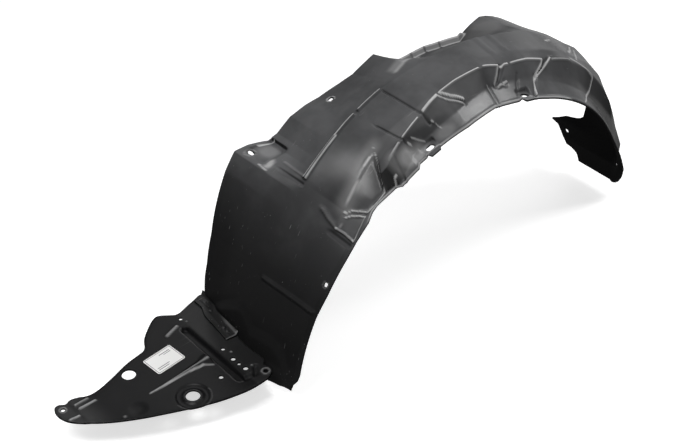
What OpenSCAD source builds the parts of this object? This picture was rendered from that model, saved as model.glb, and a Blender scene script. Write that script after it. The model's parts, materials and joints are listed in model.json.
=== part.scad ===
// Front wheel arch liner with its riveted splash panel.
// X runs along the car with the rear leg at +X, Y runs inboard from the opening, Z is up.
// The origin is the wheel axis, in the plane of the outer edge. Angles are measured about
// the wheel axis: 0 points to the rear leg, 90 straight up, 180 to the front leg.

/* [Arch] */
// Radius of the outer edge, which follows the wheel opening
arch_r = 345; // [335:1:360]
// Thickness of the moulded sheet
sheet_t = 2.5; // [2:0.1:3.2]
// Angle at which the rear leg ends
rear_end = 8; // [7:0.5:9.5]
// Angle at which the front leg ends
front_end = 173.3; // [172.5:0.1:174]
// Depth of the arch from the outer edge to the inboard edge
arch_depth = 192; // [180:1:205]
// Distance of the inner shoulder from the outer edge
shoulder_y = 105; // [98:1:110]
// Distance of the outer ridge from the outer edge at the top of the arch
ridge_y = 45; // [40:1:50]
// Height of the deck above the outer edge
deck_rise = 38; // [34:1:42]
// Width of the sloping flange along the outer edge
flange_w = 24; // [20:1:28]
// Height of the upstand along the inboard edge
upstand_h = 13; // [9:1:16]

/* [Forms in the sheet] */
// Depth of the two long creases across the deck
crease_d = 4; // [2:0.5:5]
// Height of the shoulder bead
bead_h = 3.5; // [2:0.5:5]
// Depth of the recess around the front inboard hole
recess_d = 6; // [4:0.5:8]
// Step out of the foot of the front leg
foot_step = 5; // [3:1:8]

/* [Fixing holes] */
// Diameter of the round clip holes in the arch
clip_d = 8; // [6:0.5:9]
// Length of the oblong slots in the two outer lugs
slot_l = 13; // [11:0.5:15]
// Width of the oblong slots
slot_w = 8; // [6:0.5:9]
// Width of an outer lug along the edge
lug_w = 23; // [20:1:28]
// Reach of an outer lug past the edge
lug_out = 7.5; // [6:0.5:10]

/* [Splash panel] */
// Height of the panel's top face above the wheel axis
panel_z = 64; // [60:1:68]
// Thickness of the panel
panel_t = 2.5; // [2:0.1:3.2]
// Diameter of the two access holes
access_d = 20; // [17:0.5:22]
// Diameter of the larger strip holes
strip_d = 7.4; // [6:0.2:8]
// Depth of the groove beside the fixing strip
groove_d = 7; // [5:0.5:9]
// Width of that groove
groove_w = 13; // [10:0.5:15]
// Height of the tapering stiffening bead
taper_h = 5; // [3:0.5:7]

/* [Joint] */
// Width of the foot tab that lies on the panel
tab_w = 19; // [16:1:22]
// Diameter of a heat stake's head
stake_d = 6; // [5:0.5:7]
// Height of a heat stake's head
stake_h = 2; // [1.5:0.1:2.5]
// Diameter of a heat stake's shank
shank_d = 3.5; // [3:0.1:4.5]
// Clearance between a shank and its hole, and between the leg and the panel
fit_gap = 0.3; // [0.2:0.05:0.4]
// Length of the blank sticker
label_l = 48; // [42:1:50]
// Width of the blank sticker
label_w = 36; // [30:1:37]
// Thickness of the blank sticker
label_t = 0.4; // [0.3:0.1:0.5]

/* [Hidden] */
$fn = 32;

// Blend from 0 to 1 while t goes from a to b
function ease(a, b, t) = let(k = min(1, max(0, (t - a) / (b - a)))) k * k * (3 - 2 * k);
// A rounded bump of half width w around 0
function bump(t, w) = abs(t) >= w ? 0 : 0.5 + 0.5 * cos(180 * t / w);
// A flat topped band from a to b with sides of width w
function band(a, b, w, t) = ease(a - w, a, t) * (1 - ease(b, b + w, t));

// Outline of the sheet: distance of its outer and inboard edges at each angle
function near_y(a) = lookup(a, [
    [7, 24], [9, 12], [11, 6], [14, 2], [20, 1], [33, 3], [45, 0], [51, -4], [68, -4], [74, -1],
    [81, 2], [85, 5], [89, 2], [95, -2], [110.3, -1], [111.3, -6], [117, -6], [118.2, 0],
    [123.6, 5], [125.6, 5], [128, 0], [137, -3], [147, -3], [153, 0], [168.5, 0], [170.5, 3],
    [172, 9], [173.3, 22]]);
function far_y(a) = arch_depth + lookup(a, [
    [7, -112], [8, -96], [9.8, -93], [11.4, -88], [11.8, -70], [13.6, -64], [17, -51], [17.8, -36],
    [20.3, -65], [21.2, -96], [24, -97], [30, -90], [45, -40], [58, -4], [66, 0], [118, 4], [126, 10],
    [132, 18], [150, 18], [162, 22], [167, 21], [169.6, 14], [170.4, -20], [172, -62], [174, -98]]);

// Guide lines of the form: foot of the wall, ridge, shoulder and inboard edge
function foot_y(a) = lookup(a, [[20, 6], [32, 14], [45, flange_w], [92, flange_w],
    [106, 0.7 * flange_w], [112, 0.5 * flange_w], [117, 4], [130, 8], [174, 8]]);
function foot_rise(a) = lookup(a, [[20, 3], [32, 8], [45, 14], [70, 16], [84, 19], [92, 14],
    [104, 11], [112, 8], [117, 2], [130, 2], [174, 1]]);
function crest_y(a) = lookup(a, [[7, 30], [19.5, ridge_y - 26], [24, ridge_y - 15], [31, ridge_y - 5],
    [37, ridge_y], [96, ridge_y], [104, ridge_y - 13], [110.5, ridge_y - 22], [117, 10], [120, 9]]);
function crest_rise(a) = deck_rise + lookup(a, [[7, -33], [14, -31], [19.5, -15], [24, -8], [31, 5],
    [37, 9], [42, 9], [55, 8], [60, 2], [63.5, -1], [70, 0], [75, -3], [78.5, -3], [82, 3], [84, 6],
    [92, 4], [96, 0], [100, 1], [104, -1], [110.5, -2], [117, -3], [120, -3]]);
function sail_rise(a) = lookup(a, [[115, deck_rise], [122, 24], [129, 9], [140, 6], [152, 3], [174, 2]]);
function shoulder_rise(a) = lookup(a, [
    [7, 5], [14, 6], [19, 14], [24, 36], [29.4, 68], [36, 75], [41, 72], [47.8, 63], [54.7, 61],
    [61, 60], [72, 52], [80, 50], [90, 46], [104, 46], [114, 42], [118, 39], [122.6, 36],
    [128, 33], [140, 20], [152, 9], [165, 6], [174, 4]]);
function far_rise(a) = lookup(a, [
    [7, 4], [14, 6], [19, 12], [24, 31], [30, 64], [37, 80], [40, 73], [44, 67.5], [48.5, 59],
    [52, 54.5], [56, 54], [60, 49.8], [62, 46], [64, 31], [65, 22], [66.8, -1], [72, -7.5],
    [75, -10.5], [78, -12], [81, -15.5], [84, -19], [88.4, -22], [89.6, -2.5], [90.8, 2.5],
    [92, 8.5], [94.4, 22], [97, 17], [101, 10], [105, 11], [111, 16], [115, 24], [119, 29],
    [123.5, 23], [126, 27], [129.2, 50], [131.7, 62], [136, 56], [143, 40], [150, 24], [158, 10],
    [163, 5], [167, 1], [169, -8], [174, -16]]);

// The sail is a facet that cuts the corner of the deck off, from its apex down to the edge
function sail_side(y) = 115.2 + (43 - y) / 35 * 4.6;
function edge_rise(a) = lookup(a, [[7, 6], [14, 7], [20, 3], [26, 0]]);
function deck_form(a, y) = lookup(y, [
    [near_y(a), edge_rise(a)],
    [near_y(a) + foot_y(a), foot_rise(a)],
    [max(near_y(a) + foot_y(a) + 4, crest_y(a)), crest_rise(a)],
    [max(60, 0.6 * shoulder_y), 0.5 * crest_rise(a) + 0.5 * shoulder_rise(a)],
    [shoulder_y, shoulder_rise(a)],
    [max(shoulder_y + 4, far_y(a)), far_rise(a)]]);
function leg_form(a, y) = lookup(y, [[near_y(a), 0], [near_y(a) + 8, 2], [38, sail_rise(a)],
    [shoulder_y, shoulder_rise(a)], [max(shoulder_y + 4, far_y(a)), far_rise(a)]]);
function form(a, y) = let(k = ease(-0.9, 0.9, a - sail_side(y)))
    (1 - k) * deck_form(a, y) + k * leg_form(a, y);

// Creases, beads, pits and ribs, as heights added to the form
function across(a, y, a0, y0, y1, w, d) = d * bump((a - a0) * arch_r / 57.3, w) * band(y0, y1, 5, y);
function pit(a, y, a0, y0, w, d) = d * bump(norm([(a - a0) * arch_r / 57.3, y - y0]), w);
function slant(a, y, a0, y0, a1, y1, w, d) = let(k = min(1, max(0, (y - y0) / (y1 - y0))))
    y < min(y0, y1) - 4 || y > max(y0, y1) + 4 ? 0
    : d * bump((a - a0 - k * (a1 - a0)) * arch_r / 57.3, w);
function details(a, y) =
    across(a, y, 103.4, 24, shoulder_y - 1, 5, -crease_d) + across(a, y, 110.5, 15, 74, 5, -crease_d)
    + pit(a, y, 103.3, 20, 8, -3) + pit(a, y, 109.6, 12, 9, -6)
    + across(a, y, 152, 6, shoulder_y - 2, 7, 4) + across(a, y, 133, 4, 58, 6, 3.5)
    + across(a, y, 73.5, 70, 145, 8, 3) + across(a, y, 77.5, 70, 150, 8, 3)
    + slant(a, y, 92, 26, 96.5, 44, 4, -5) + slant(a, y, 81.8, 26, 80, 46, 7, -7)
    + slant(a, y, 72, 2, 69, 26, 5, -5) + slant(a, y, 69, 26, 62, 46, 7, -7)
    + slant(a, y, 84, 0, 84, 30, 3, -1.5) + pit(a, y, 78.6, 27, 9, -5)
    + slant(a, y, 75, 2, 73, 38, 4, -2.5)
    + bead_h * bump(y - shoulder_y, 6) * (band(104.4, 110.6, 0.6, a) + band(112, 128, 0.8, a))
    - recess_d * band(125.5, 130, 0.7, a) * ease(163, 169, y) * (1 - ease(198, 203, y))
    + foot_step * foot_zone(a, y)
    + upstand_h * min(1, max(0, (y - far_y(a) + 9) / 8)) * band(66.5, 88.4, 1.2, a);
function foot_zone(a, y) = ease(0, 4.5, a - lookup(y, [[12, 171], [24, 167.5], [36, 164.2], [57, 163],
    [100, 164], [116, 160], [130, 160], [160, 163], [200, 168], [212, 171]]));

function radius_at(a, y) = arch_r + form(a, y) + details(a, y);
function skin(a, y) = [radius_at(a, y) * cos(a), y, radius_at(a, y) * sin(a)];

// Rows of points run across the sheet and lie closer together at the creases
function rows_of(from, to, n) = [for (i = [1:n]) from + (to - from) * i / n];
row_angles = concat([rear_end], rows_of(rear_end, 11.4, 3), rows_of(11.4, 17.8, 4),
    rows_of(17.8, 20.3, 2), rows_of(20.3, 21.2, 1), rows_of(21.2, 26, 3), rows_of(26, 58, 10),
    rows_of(58, 64, 7), rows_of(64, 72, 6), rows_of(72, 86, 15), rows_of(86, 88.4, 1),
    rows_of(88.4, 89.6, 2), rows_of(89.6, 90.6, 1), rows_of(90.6, 97.6, 6), rows_of(97.6, 102.6, 2),
    rows_of(102.6, 104.2, 4), rows_of(104.2, 109.7, 2), rows_of(109.7, 111.3, 4),
    rows_of(111.3, 114, 1), rows_of(114, 116.4, 4), rows_of(116.4, 125, 4), rows_of(125, 132.5, 7),
    rows_of(132.5, 135.5, 4), rows_of(135.5, 150.8, 5), rows_of(150.8, 153.2, 4), rows_of(153.2, 161, 4),
    rows_of(161, 168.5, 7), rows_of(168.5, front_end, 6));
// Near the sail and the slanted slot the rows lean, so that they run along those edges,
// and at the foot they follow its end, which drops inboard
function lean(a, y) =
    lookup(a, [[111.3, 0], [114, 1], [116.4, 1], [125, 0]]) * (sail_side(min(y, 43)) - 115.2)
    + lookup(a, [[168.5, 0], [front_end, 1]]) * lookup(y, [[14, 0], [46, 1.3], [70, 2.6]])
    + lookup(a, [[56, 0], [59, 1], [64, 1], [82, 0]]) * lookup(y, [[0, 10.4], [26, 7.2], [46, 0]]);
// Columns follow the guide lines from the outer edge to the inboard edge
cols = 22;
function col_y(a, j) =
    let(n = near_y(a + lean(a, 0)), f = far_y(a), s = min(shoulder_y, n + 0.62 * (f - n)))
    let(c = min(crest_y(a), n + 0.45 * (f - n)), g = min(foot_y(a), 0.5 * (c - n)))
    lookup(j, [[0, n], [2, n + g], [4, c], [7, max(38, c + 6)], [11, s - 6], [13, s], [15, s + 6],
    [19, f - 9], [cols - 1, f]]);
function unit(v) = v / norm(v);
function normal_at(a, y) =
    unit(cross(skin(a, y + 0.4) - skin(a, y - 0.4), skin(a + 0.08, y) - skin(a - 0.08, y)));
// The inner skin lies one thickness inside the outer one
function inner(a, y) = skin(a, y) - sheet_t * normal_at(a, y);

module sheet() {
    n = len(row_angles);
    grid = [for (a = row_angles, j = [0:cols - 1]) let(y = col_y(a, j)) [a + lean(a, y), y]];
    outer_pts = [for (g = grid) skin(g[0], g[1])];
    inner_pts = [for (g = grid) inner(g[0], g[1])];
    m = n * cols;
    function at(i, j) = i * cols + j;
    outer_faces = [for (i = [0:n - 2], j = [0:cols - 2]) each
        [[at(i, j), at(i + 1, j), at(i + 1, j + 1)], [at(i, j), at(i + 1, j + 1), at(i, j + 1)]]];
    inner_faces = [for (f = outer_faces) [m + f[2], m + f[1], m + f[0]]];
    rim = concat([for (j = [0:cols - 2]) [at(0, j), at(0, j + 1)]],
        [for (i = [0:n - 2]) [at(i, cols - 1), at(i + 1, cols - 1)]],
        [for (j = [cols - 2:-1:0]) [at(n - 1, j + 1), at(n - 1, j)]],
        [for (i = [n - 2:-1:0]) [at(i + 1, 0), at(i, 0)]]);
    rim_faces = [for (e = rim) each [[e[0], e[1], m + e[1]], [e[0], m + e[1], m + e[0]]]];
    polyhedron(points = concat(outer_pts, inner_pts), faces = concat(outer_faces, inner_faces, rim_faces),
        convexity = 10);
}

// Places children on the outer skin at an angle and a distance inboard, with Z along the normal
module on_skin(a, y) {
    n = normal_at(a, y);
    t = unit([-sin(a), 0, cos(a)] - n * (n * [-sin(a), 0, cos(a)]));
    b = cross(n, t);
    p = skin(a, y);
    multmatrix([[t[0], b[0], n[0], p[0]], [t[1], b[1], n[1], p[1]], [t[2], b[2], n[2], p[2]], [0, 0, 0, 1]])
        children();
}
// Places children in the flat frame of a lug, with X along the edge and Y inboard
module at_lug(a) {
    rotate([0, -a, 0]) translate([arch_r + lug_seat, 0, 0]) rotate([0, 90, 0]) children();
}

module oblong(l, w, h) {
    linear_extrude(h) union() {
        for (x = [-1, 1]) translate([x * (l - w) / 2, 0]) circle(d = w);
        square([l - w, w], center = true);
    }
}

// A lug is a flat pad on the outer edge with a slot for a screw clip
lug_seat = 4;
lug_angles = [106, 75.4];
lug_slot_y = 5.5;
module lug_pad(a) {
    at_lug(a) translate([0, 0, -sheet_t]) linear_extrude(sheet_t) polygon([
        [-lug_w / 2 - 6, 8], [-lug_w / 2, 0], [-lug_w / 2 + 3, -lug_out], [lug_w / 2 - 3, -lug_out],
        [lug_w / 2, 0], [lug_w / 2 + 6, 8], [lug_w / 2, 14], [-lug_w / 2, 14]]);
}

// Round clip holes: angle, distance from the outer edge and share of the clip diameter
clip_holes = [[144.8, 5.5, 0.75], [130.3, 196, 1], [110.4, 172, 1], [15.2, 14, 0.85], [16.2, 122, 0.85]];

// The foot tab is the strip of the arch that is turned out over the panel
function leg_x(y) = let(a = 180 - asin(panel_z / radius_at(169, y))) radius_at(a, y) * cos(a);
tab_from = arch_depth - 68;
tab_to = arch_depth + 36;
module foot_tab() {
    ys = [for (i = [0:8]) tab_from + (tab_to - tab_from) * i / 8];
    translate([0, 0, panel_z]) linear_extrude(sheet_t) polygon(concat(
        [for (y = ys) [leg_x(y) + sheet_t * 0.6, y]],
        [for (i = [8:-1:0]) [leg_x(ys[i]) - tab_w, ys[i] + (i == 8 ? -4 : i == 0 ? 3 : 0)]]));
}

module arch_liner() {
    color([0.2, 0.2, 0.21]) difference() {
        union() {
            sheet();
            for (a = lug_angles) lug_pad(a);
            foot_tab();
        }
        for (h = clip_holes)
            on_skin(h[0], h[1]) translate([0, 0, -8]) cylinder(d = clip_d * h[2], h = 16);
        for (a = lug_angles) at_lug(a) translate([0, lug_slot_y, -8]) oblong(slot_l, slot_w, 20);
        for (s = tab_stakes) translate([leg_x(s) - tab_w / 2, s, panel_z - 1])
            cylinder(d = shank_d + 2 * fit_gap, h = sheet_t + 2);
    }
}

// Places a piece of the panel from the arch's foot, so that it follows the arch's radius and depth
module at_foot(x, y, z = 0) {
    translate([x - arch_r, y + arch_depth, z]) children();
}
// Splash panel, seen from above: the outer side faces -Y, the tip points to -X.
// Places on it are measured from the arch's foot and from the depth of the arch.
tab_stakes = [for (d = [-53, -43, -2, 17]) arch_depth + d];
// Holes along the fixing strip: place and share of the strip diameter
strip_holes = [[-34, -126, 1], [-35.5, -113, 0.72], [-35.5, -100, 0.94], [-34, -75, 0.8]];
access_holes = [[-162, -29], [-121, -121]];
// Small holes: place and diameter
small_holes = [[-70, -117, 7], [-41, 15, 5.6], [-17, -149, 6.4], [-267, -26, 6.4]];
// Small round bosses on the fixing strip
strip_bosses = [[-24, -127], [-29, -87], [-38, 5]];
// Outline from the end tab along the outer side to the tip, and back along the inner side
outer_side = [[-5, -146], [-10, -155], [-18, -160], [-27, -162], [-53, -162.5], [-75, -158], [-99, -152],
    [-128, -141], [-161, -126], [-198, -108], [-237, -84], [-263, -61]];
tip_end = [[-274, -48], [-279, -32], [-276, -16], [-267, -12], [-258, -20], [-251, -16],
    [-239, -19], [-229, -26]];
inner_side = [[-212, -27], [-179, -18], [-162, -12], [-146, -8], [-121, -5], [-114, 0],
    [-107, 14], [-88, 30],
    [-70, 42], [-61, 43], [-50, 34], [-39, 25], [-19, 31], [-2, 35]];
module panel_outline() {
    polygon(concat(
        [for (p = concat(outer_side, tip_end, inner_side)) [p[0] - arch_r, p[1] + arch_depth]],
        [for (y = [tab_to + 4:-12:arch_depth - 134]) [leg_x(min(y, arch_depth + 13)) - fit_gap, y]],
        [[-12 - arch_r, arch_depth - 137]]));
}
// A trough pressed into the panel between two points, as a solid w wide and h deep
module channel(p, q, w, h) {
    d = q - p;
    translate(p) rotate(atan2(d[1], d[0])) translate([-w / 2, -w / 2]) linear_extrude(h)
        square([norm(d) + w, w]);
}
groove_ends = [[-52.5, -136.5], [-50.5, -8]];
module panel_sheet() {
    translate([0, 0, panel_z - panel_t]) linear_extrude(panel_t) panel_outline();
    // Underside of the groove
    at_foot(0, 0, panel_z - groove_d - panel_t)
        channel(groove_ends[0], groove_ends[1], groove_w + 2 * panel_t, groove_d + 0.4 * panel_t);
    // Rim around the outer access hole
    at_foot(access_holes[1][0], access_holes[1][1], panel_z) cylinder(d = access_d + 12, h = 1.2);
    for (b = strip_bosses) at_foot(b[0], b[1], panel_z) cylinder(d = stake_d, h = stake_h / 2);
    at_foot(0, 0) taper_bead();
    // Ribs along the tip: place of the front end, length and turn
    for (r = [[-250, -30.5, 19, 0], [-249, -40, 24, -2], [-270, -48, 13, -9]])
        at_foot(r[0], r[1], panel_z) rotate(r[3]) rotate([0, 90, 0]) cylinder(d = 4.4, h = r[2]);
}
// The bead widens from a point near the access hole to the groove
module taper_bead() {
    p = [-161, -78.5];
    q = [-61, -80];
    ends = [[p[0], p[1] - 1.5], [q[0], q[1] - 9], [q[0], q[1] + 9], [p[0], p[1] + 1.5]];
    polyhedron(
        points = concat([for (e = ends) [e[0], e[1], panel_z - 1]],
            [[p[0] + 4, p[1], panel_z + 0.6], [q[0] - 3, q[1] - 3, panel_z + taper_h],
            [q[0] - 3, q[1] + 3, panel_z + taper_h]]),
        faces = [[0, 1, 2, 3], [0, 4, 5, 1], [1, 5, 6, 2], [2, 6, 4, 3], [3, 4, 0], [4, 6, 5]]);
}
drill_z = panel_z - 2 * panel_t;
drill_l = 4 * panel_t;
module splash_panel() {
    color([0.24, 0.24, 0.25]) difference() {
        panel_sheet();
        at_foot(0, 0, panel_z - groove_d)
            channel(groove_ends[0], groove_ends[1], groove_w, groove_d + 1);
        for (h = access_holes) at_foot(h[0], h[1], drill_z) cylinder(d = access_d, h = drill_l);
        for (h = strip_holes) at_foot(h[0], h[1], drill_z) cylinder(d = strip_d * h[2], h = drill_l);
        for (h = small_holes) at_foot(h[0], h[1], drill_z) cylinder(d = h[2], h = drill_l);
        for (s = tab_stakes) translate([leg_x(s) - tab_w / 2, s, panel_z - panel_t - 1])
            cylinder(d = shank_d + 2 * fit_gap, h = panel_t + 2);
    }
}

// Stakes: shanks through the tab and the panel, under domed heads
module stake(z, grip) {
    translate([0, 0, z]) rotate_extrude() polygon(concat([[0, 0], [stake_d / 2, 0]],
        [for (k = [1:5]) [stake_d / 2 * cos(18 * k), stake_h * sin(18 * k)]]));
    translate([0, 0, z - grip]) cylinder(d = shank_d, h = grip + 0.2);
    translate([0, 0, z - grip - 1.2]) cylinder(d = stake_d, h = 1.2);
}
module heat_stakes() {
    color([0.3, 0.3, 0.31]) for (s = tab_stakes)
        translate([leg_x(s) - tab_w / 2, s, 0]) stake(panel_z + sheet_t, sheet_t + panel_t);
}

// Blank sticker on the panel
module blank_sticker() {
    color([0.88, 0.88, 0.87]) at_foot(-108.5, -38, panel_z) rotate(4) linear_extrude(label_t)
        rounded_plate(label_l, label_w, 3);
}
module rounded_plate(l, w, r) {
    square([l - 2 * r, w], center = true);
    square([l, w - 2 * r], center = true);
    for (x = [-1, 1], y = [-1, 1]) translate([x * (l / 2 - r), y * (w / 2 - r)]) circle(r);
}

arch_liner();
splash_panel();
heat_stakes();
blank_sticker();
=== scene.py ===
import bpy
import json
import math
import numpy as np
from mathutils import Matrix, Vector

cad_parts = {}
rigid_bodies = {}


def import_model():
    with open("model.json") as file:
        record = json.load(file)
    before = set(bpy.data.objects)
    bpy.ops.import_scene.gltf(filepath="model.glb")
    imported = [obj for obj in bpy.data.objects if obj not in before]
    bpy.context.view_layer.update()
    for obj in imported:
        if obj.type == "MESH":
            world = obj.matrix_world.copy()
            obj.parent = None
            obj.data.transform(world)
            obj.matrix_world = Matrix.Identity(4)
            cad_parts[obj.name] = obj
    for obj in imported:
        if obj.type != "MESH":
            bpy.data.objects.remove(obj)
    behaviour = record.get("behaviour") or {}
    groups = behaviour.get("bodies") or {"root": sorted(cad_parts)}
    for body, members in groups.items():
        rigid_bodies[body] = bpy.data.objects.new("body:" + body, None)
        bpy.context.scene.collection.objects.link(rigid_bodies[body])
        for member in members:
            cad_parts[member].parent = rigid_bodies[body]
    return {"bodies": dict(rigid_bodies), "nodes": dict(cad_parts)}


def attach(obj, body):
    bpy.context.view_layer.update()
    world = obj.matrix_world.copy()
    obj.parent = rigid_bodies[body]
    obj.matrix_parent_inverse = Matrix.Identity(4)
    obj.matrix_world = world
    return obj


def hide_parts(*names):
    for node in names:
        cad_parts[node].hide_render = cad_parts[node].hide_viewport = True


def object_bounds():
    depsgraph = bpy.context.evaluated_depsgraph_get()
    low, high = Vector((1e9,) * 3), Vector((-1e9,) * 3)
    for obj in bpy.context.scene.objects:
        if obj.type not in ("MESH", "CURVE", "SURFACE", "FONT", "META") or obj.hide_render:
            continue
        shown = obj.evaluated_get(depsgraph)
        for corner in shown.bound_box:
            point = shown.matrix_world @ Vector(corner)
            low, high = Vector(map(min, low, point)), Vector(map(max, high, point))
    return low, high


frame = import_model()
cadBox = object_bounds()
body = list(frame["bodies"])[0]
mm = 0.001


# small helpers

def ease(a, b, t):
    # smooth step from 0 at a to 1 at b
    k = np.clip((t - a) / (b - a), 0, 1)
    return k * k * (3 - 2 * k)


def bump(t, w):
    # 1 at t = 0, falling smoothly to 0 at w either way
    return np.where(np.abs(t) >= w, 0, 0.5 + 0.5 * np.cos(np.pi * np.clip(t / w, -1, 1)))


def band(a, b, w, t):
    # 1 from a to b, with soft ends of width w
    return ease(a - w, a, t) * (1 - ease(b, b + w, t))


def along(guide, t):
    # value of a guide line, straight between its points
    return np.interp(t, [p[0] for p in guide], [p[1] for p in guide])


def through(y, knots):
    # straight stretches from knot to knot, where each knot is (place, height) and both may be arrays
    h = knots[0][1] + 0 * y
    for (y0, h0), (y1, h1) in zip(knots, knots[1:]):
        k = np.clip((y - y0) / np.maximum(y1 - y0, 1e-6), 0, 1)
        h = np.where(y > y0, h0 + (h1 - h0) * k, h)
    return h


# the moulded arch, as the part's source has it

# lengths in mm, and angles in degrees round the wheel from the rear over the top to the front foot
arch = {
    "radius": 345.0, "thickness": 2.5, "rearEnd": 8.0, "frontEnd": 173.3, "depth": 192.0,
    "shoulder": 105.0, "deckRise": 38.0, "bead": 3.5, "recess": 6.0, "footStep": 5.0,
    # turned-up edge: its height, the angles that it spans and those of its ribs
    "upstand": 13.0, "upstandSpan": (66.5, 88.4), "upstandRibs": (82.4, 78.1, 73.1),
    # front foot: its height, the row that meets the panel, and the tab's two ends and width
    "footHeight": 64.0, "footRow": 169, "footTab": (124, 228, 19),
    "lugAngles": (106.0, 75.4), "lugWidth": 23.0, "lugReach": 7.5, "lugSeat": 4.0,
    "slotLength": 13.0, "slotWidth": 8.0, "slotPlace": 5.5,
    # angle, depth and radius
    "clipHoles": ((144.8, 5.5, 3.2), (130.3, 196, 4.4), (110.4, 172, 4.5), (15.2, 14, 3.6), (16.2, 122, 3.6)),
}
# guide lines over the angle: the two edges, and the folds between them with their heights
nearGuide = [(7, 24), (9, 12), (11, 6), (14, 2), (20, 1), (33, 3), (45, 0), (51, -4), (68, -4), (74, -1),
             (81, 2), (85, 5), (89, 2), (95, -2), (110.3, -1), (111.3, -6), (117, -6), (118.2, 0),
             (123.6, 5), (125.6, 5), (128, 0), (137, -3), (147, -3), (153, 0), (168.5, 0), (170.5, 3),
             (172, 9), (173.3, 22)]
farGuide = [(7, -112), (8, -96), (9.8, -93), (11.4, -88), (11.8, -70), (13.6, -64), (17, -51), (17.8, -36),
            (20.3, -65), (21.2, -96), (24, -97), (30, -90), (45, -40), (58, -4), (66, 0), (118, 4), (126, 10),
            (132, 18), (150, 18), (162, 22), (167, 21), (169.6, 14), (170.4, -20), (172, -62), (174, -98)]
footGuide = [(20, 6), (32, 14), (45, 24), (92, 24), (106, 16.8), (112, 12), (117, 4), (130, 8), (174, 8)]
footRise = [(20, 3), (32, 8), (45, 14), (70, 16), (84, 19), (92, 14), (104, 11), (112, 8), (117, 2),
            (130, 2), (174, 1)]
crestGuide = [(7, 30), (19.5, 19), (24, 30), (31, 40), (37, 45), (96, 45), (104, 32), (110.5, 23), (117, 10),
              (120, 9)]
crestRise = [(7, -33), (14, -31), (19.5, -15), (24, -8), (31, 5), (37, 9), (42, 9), (55, 8), (60, 2),
             (63.5, -1), (70, 0), (75, -3), (78.5, -3), (82, 3), (84, 6), (92, 4), (96, 0), (100, 1),
             (104, -1), (110.5, -2), (117, -3), (120, -3)]
sailFold = [(115.2, 44.5), (117.6, 41.8), (121.4, 39.2), (125.2, 37.6), (128.7, 36.8)]
sailRise = [(115, 38), (122, 24), (129, 9), (140, 6), (152, 3), (174, 2)]
shoulderRise = [(7, 5), (14, 6), (19, 14), (24, 36), (29.4, 68), (36, 75), (41, 72), (47.8, 63), (54.7, 61),
                (61, 60), (72, 52), (80, 50), (90, 46), (104, 46), (114, 42), (118, 39), (122.6, 36),
                (128, 33), (140, 20), (152, 9), (165, 6), (174, 4)]
farRise = [(7, 4), (14, 6), (19, 12), (24, 31), (30, 64), (37, 80), (40, 73), (44, 67.5), (48.5, 59),
           (52, 54.5), (56, 54), (60, 49.8), (62, 46), (64, 31), (65, 22), (66.8, -1), (72, -7.5),
           (75, -10.5), (78, -12), (81, -15.5), (84, -19), (88.4, -22), (89.6, -2.5), (90.8, 2.5),
           (92, 8.5), (94.4, 22), (97, 17), (101, 10), (105, 11), (111, 16), (115, 24), (119, 29),
           (123.5, 23), (126, 27), (129.2, 50), (131.7, 62), (136, 56), (143, 40), (150, 24), (158, 10),
           (163, 5), (167, 1), (169, -8), (174, -16)]
# the step at the front foot, over the depth
stepLine = [(12, 171), (24, 167.5), (36, 164.2), (57, 163), (100, 164), (116, 160), (130, 160), (160, 163),
            (200, 168), (212, 171)]


def edgeArc(a, a0):
    # length along the outer edge's circle
    return (a - a0) * arch["radius"] * math.pi / 180


def nearY(a):
    # the outer edge, with its two lugs
    n = along(nearGuide, a)
    for a0 in arch["lugAngles"]:
        s = np.abs(edgeArc(a, a0))
        k = 1 - ease(arch["lugWidth"] / 2 - 3.5, arch["lugWidth"] / 2 + 0.5, s)
        n = n + (-arch["lugReach"] - n) * k
    return n


def farY(a):
    return arch["depth"] + along(farGuide, a)


def sailSide(y):
    # angle at which the deck ends and the sail begins
    return 115.2 + (43 - y) / 35 * 4.6


def form(a, y):
    # the sheet's main folds: the deck up to the sail, and the front leg beyond
    n, f = along(nearGuide, a), farY(a)
    edge = along([(7, 6), (14, 7), (20, 3), (26, 0)], a)
    foot, crest = n + along(footGuide, a), along(crestGuide, a)
    rise, ridge = arch["deckRise"] + along(crestRise, a), along(shoulderRise, a)
    far = along(farRise, a)
    deck = through(y, [(n, edge), (foot, along(footRise, a)), (np.maximum(foot + 4, crest), rise),
                       (63.0, 0.5 * rise + 0.5 * ridge), (arch["shoulder"], ridge),
                       (np.maximum(arch["shoulder"] + 4, f), far)])
    leg = through(y, [(n, 0), (n + 8, 2), (38.0, along(sailRise, a)), (arch["shoulder"], ridge),
                      (np.maximum(arch["shoulder"] + 4, f), far)])
    k = ease(-0.9, 0.9, a - sailSide(y))
    return (1 - k) * deck + k * leg


def across(a, y, a0, y0, y1, w, d):
    # straight line across the sheet, at one angle
    return d * bump(edgeArc(a, a0), w) * band(y0, y1, 5, y)


def pit(a, y, a0, y0, w, d):
    # round dent
    return d * bump(np.hypot(edgeArc(a, a0), y - y0), w)


def slant(a, y, a0, y0, a1, y1, w, d):
    # line that leans from one place to another
    k = np.clip((y - y0) / (y1 - y0), 0, 1)
    ends = band(min(y0, y1), max(y0, y1), 4, y)
    return d * bump(edgeArc(a - k * (a1 - a0), a0), w) * ends
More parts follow.
